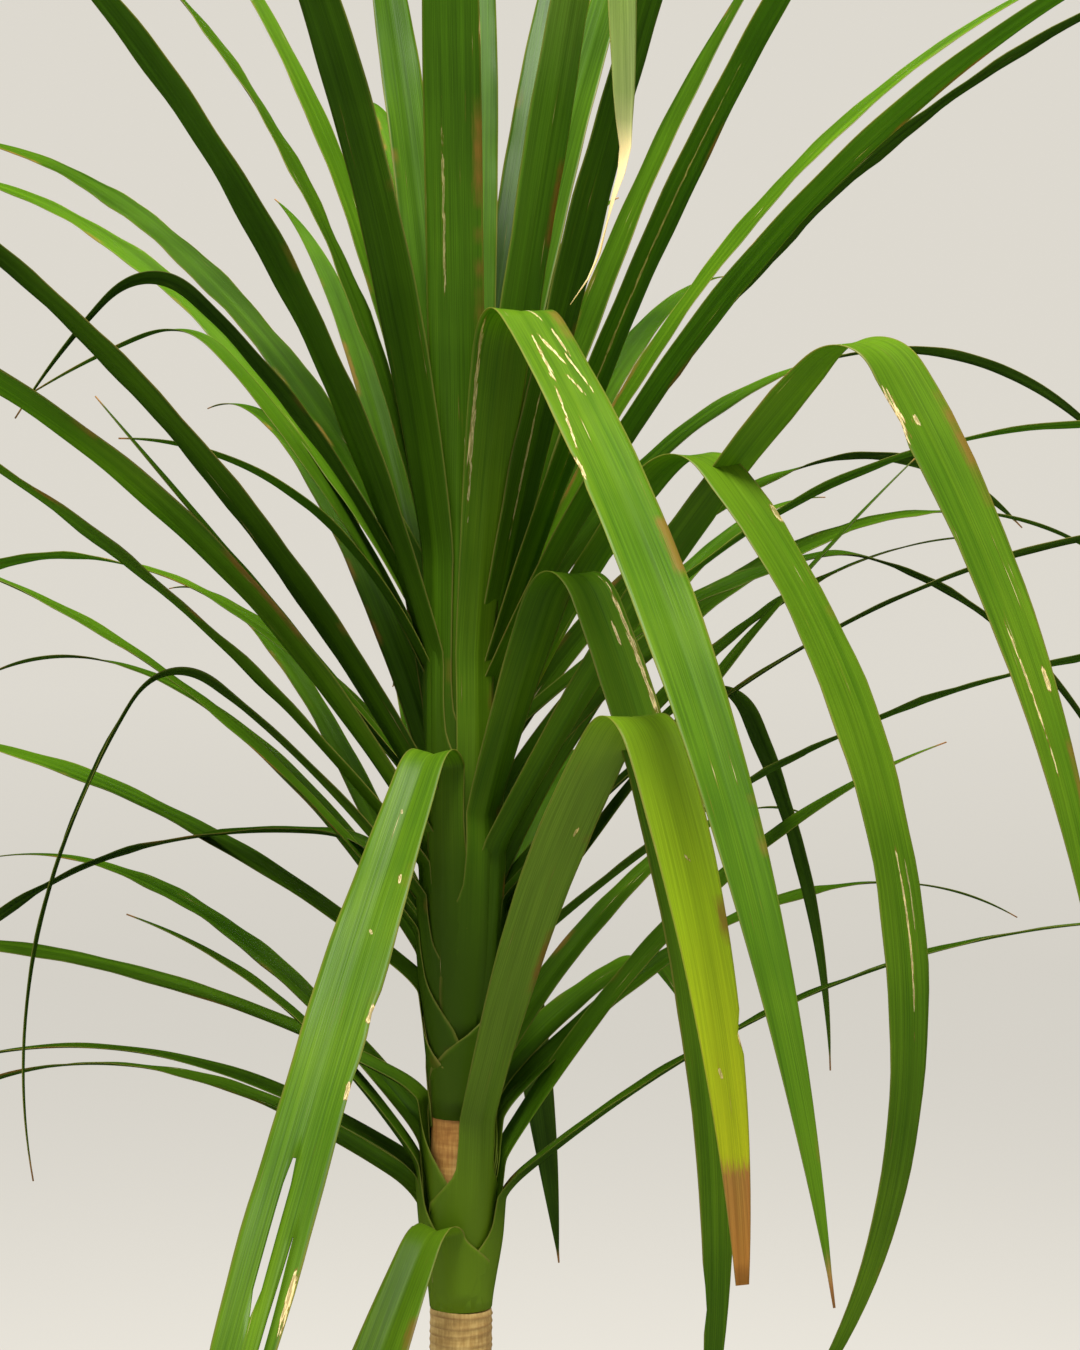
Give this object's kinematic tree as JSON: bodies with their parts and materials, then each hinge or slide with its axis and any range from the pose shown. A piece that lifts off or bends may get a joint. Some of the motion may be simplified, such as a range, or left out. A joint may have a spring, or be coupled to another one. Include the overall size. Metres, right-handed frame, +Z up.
{
  "type": "potted dragon tree",
  "caption": "House plant: a head of long strap leaves, upright in the middle and arching over at the sides, on a bare ringed cane that stands in the soil of a tapered clay pot.",
  "frame": {"origin": "centre of the pot's flat underside", "axes": "+Z up along the pot's axis and the cane, -Y towards the viewer, +X to the viewer's right"},
  "size_m": [0.9606, 0.8044, 1.5159],
  "materials": {
    "pot": "matte",
    "soil": "matte",
    "trunk": "matte",
    "crown": "satin"
  },
  "bodies": {
    "root": {"pot": "pot", "soil": "soil", "trunk": "trunk", "crown": "crown"}
  },
  "joints": []
}
